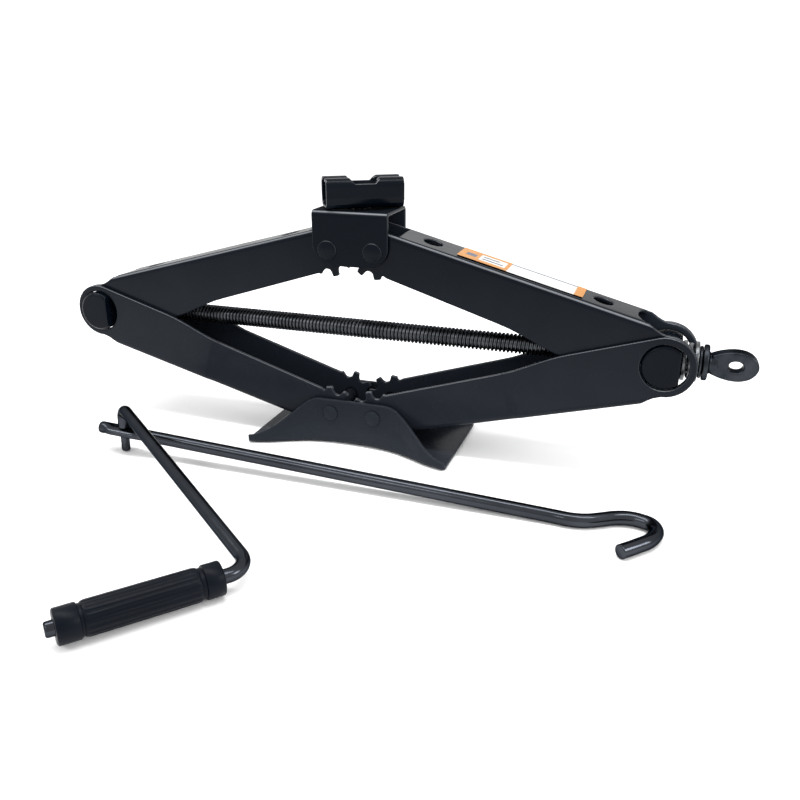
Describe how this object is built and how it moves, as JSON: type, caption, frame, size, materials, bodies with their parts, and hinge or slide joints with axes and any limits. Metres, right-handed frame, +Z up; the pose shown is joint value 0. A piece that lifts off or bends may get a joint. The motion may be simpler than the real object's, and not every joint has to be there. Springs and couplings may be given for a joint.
{
  "type": "scissor jack",
  "caption": "Scissor jack partly raised, with a lead screw, geared channel arms and a swivelling saddle, and its folding crank handle lying in front",
  "frame": {"origin": "centre of the base's underside, on the floor", "axes": "+X along the lead screw towards its eye, +Y away from the crank handle that lies in front, +Z up"},
  "size_m": [0.4531, 0.2989, 0.1731],
  "materials": {
    "black_paint": "satin blue-black paint over pressed steel",
    "zinc_steel": "bare bearing steel",
    "oiled_steel": "oiled black steel",
    "black_plastic": "satin moulded plastic",
    "label_film": "printed film"
  },
  "bodies": {
    "base": {"base_plate": "black_paint", "base_pivot_pin_left": "black_paint", "base_pivot_pin_right": "black_paint"},
    "lower_arm_right": {"lower_arm_right": "black_paint"},
    "lower_arm_left": {"lower_arm_left": "black_paint"},
    "upper_arm_right": {"upper_arm_right": "black_paint", "rating_label": "label_film"},
    "upper_arm_left": {"upper_arm_left": "black_paint"},
    "top_bracket": {"top_bracket": "black_paint", "top_pivot_pin_left": "black_paint", "top_pivot_pin_right": "black_paint"},
    "saddle": {"saddle": "black_paint", "saddle_rivet": "oiled_steel"},
    "nut": {"trunnion_nut": "black_paint"},
    "block": {"trunnion_block": "black_paint", "bearing_race_inner": "zinc_steel"},
    "ball_cage": {"ball_cage": "zinc_steel"},
    "screw": {"lead_screw": "oiled_steel", "thrust_washer": "oiled_steel", "bearing_race_outer": "zinc_steel"},
    "hook_rod": {"hook_rod": "black_paint"},
    "crank": {"crank_lever": "black_paint"},
    "grip": {"grip": "black_plastic"}
  },
  "joints": [
    {"name": "arm_raise", "type": "hinge", "parent": "base", "child": "lower_arm_right", "pos_m": [0.015, 0, 0.0217], "axis": [0, -1, 0], "range_deg": [-12.4, 43]},
    {"name": "lower_left_pivot", "type": "hinge", "parent": "base", "child": "lower_arm_left", "pos_m": [-0.015, 0, 0.0217], "axis": [0, 1, 0], "range_deg": [-12.4, 43]},
    {"name": "right_trunnion_level", "type": "hinge", "parent": "lower_arm_right", "child": "block", "pos_m": [0.19197, 0, 0.0756], "axis": [0, -1, 0], "range_deg": [-43, 12.4]},
    {"name": "upper_right_pivot", "type": "hinge", "parent": "lower_arm_right", "child": "upper_arm_right", "pos_m": [0.19197, 0, 0.0756], "axis": [0, -1, 0], "range_deg": [-86, 24.8]},
    {"name": "top_bracket_level", "type": "hinge", "parent": "upper_arm_right", "child": "top_bracket", "pos_m": [0.015, 0, 0.12951], "axis": [0, -1, 0], "range_deg": [-12.4, 43]},
    {"name": "left_trunnion_level", "type": "hinge", "parent": "lower_arm_left", "child": "nut", "pos_m": [-0.19197, 0, 0.0756], "axis": [0, 1, 0], "range_deg": [-43, 12.4]},
    {"name": "upper_left_pivot", "type": "hinge", "parent": "lower_arm_left", "child": "upper_arm_left", "pos_m": [-0.19197, 0, 0.0756], "axis": [0, 1, 0], "range_deg": [-86, 24.8]},
    {"name": "saddle_swivel", "type": "hinge", "parent": "top_bracket", "child": "saddle", "pos_m": [0, 0, 0.1541], "axis": [0, 0, 1], "continuous": true},
    {"name": "screw_spin", "type": "hinge", "parent": "block", "child": "screw", "pos_m": [0.19197, 0, 0.0756], "axis": [1, 0, 0], "continuous": true},
    {"name": "ball_cage_spin", "type": "hinge", "parent": "block", "child": "ball_cage", "pos_m": [0.19197, 0, 0.0756], "axis": [1, 0, 0], "continuous": true},
    {"name": "handle_lift", "type": "slide", "parent": "base", "child": "hook_rod", "axis": [0, 0, 1], "range_m": [0, 0.15]},
    {"name": "crank_fold", "type": "hinge", "parent": "hook_rod", "child": "crank", "pos_m": [-0.1373, -0.0775, 0.0146], "axis": [0.1055, -0.075, 0.9916], "range_deg": [-130, 24]},
    {"name": "grip_spin", "type": "hinge", "parent": "crank", "child": "grip", "pos_m": [-0.02058, -0.22548, 0.00913], "axis": [-0.6449, -0.7642, 0.0108], "continuous": true}
  ],
  "couplings": [
    {"joint": "lower_left_pivot", "follows": "arm_raise", "ratio": 1},
    {"joint": "right_trunnion_level", "follows": "arm_raise", "ratio": -1},
    {"joint": "upper_right_pivot", "follows": "arm_raise", "ratio": -2},
    {"joint": "top_bracket_level", "follows": "arm_raise", "ratio": 1},
    {"joint": "left_trunnion_level", "follows": "arm_raise", "ratio": -1},
    {"joint": "upper_left_pivot", "follows": "arm_raise", "ratio": -2},
    {"joint": "screw_spin", "follows": "arm_raise", "ratio": -477},
    {"joint": "ball_cage_spin", "follows": "arm_raise", "ratio": -238.5}
  ]
}
